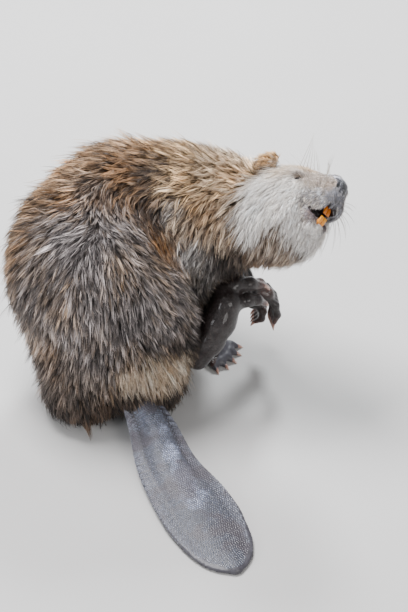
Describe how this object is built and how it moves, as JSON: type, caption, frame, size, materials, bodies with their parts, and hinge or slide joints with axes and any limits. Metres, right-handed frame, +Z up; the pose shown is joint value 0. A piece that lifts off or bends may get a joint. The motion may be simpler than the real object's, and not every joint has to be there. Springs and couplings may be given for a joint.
{
  "type": "beaver",
  "caption": "Life-size still model of a Eurasian beaver sitting on its rump, scratching its throat with a raised hind foot, flat scaly tail laid out on the floor.",
  "frame": {"origin": "on the floor, under the middle of the bounding box", "axes": "+X the way the trunk faces, +Y the animal's left, +Z up"},
  "size_m": [0.481, 0.5636, 0.3752],
  "materials": {
    "coat": "dense brown fur with paler tips, damp in locks",
    "bare_skin": "wet dark skin of the feet and hands",
    "tail_scales": "wet slate-grey scales",
    "nose": "damp grey nose pad",
    "eye": "wet dark eye",
    "enamel": "orange tooth enamel",
    "claw": "pinkish-brown horn"
  },
  "bodies": {
    "root": {"head": "coat", "lower_jaw": "coat", "neck": "coat", "chest": "coat", "back": "coat", "rump": "coat", "thigh_right": "coat", "thigh_left": "coat", "upper_arm_right": "coat", "upper_arm_left": "coat", "forearm_right": "coat", "forearm_left": "coat", "ear_right": "coat", "ear_left": "coat", "hand_right": "bare_skin", "hand_left": "bare_skin", "foot_hind_right": "bare_skin", "foot_hind_left": "bare_skin", "tail": "tail_scales", "nose": "nose", "eye_right": "eye", "eye_left": "eye", "incisors_upper": "enamel", "incisors_lower": "enamel"}
  },
  "joints": []
}
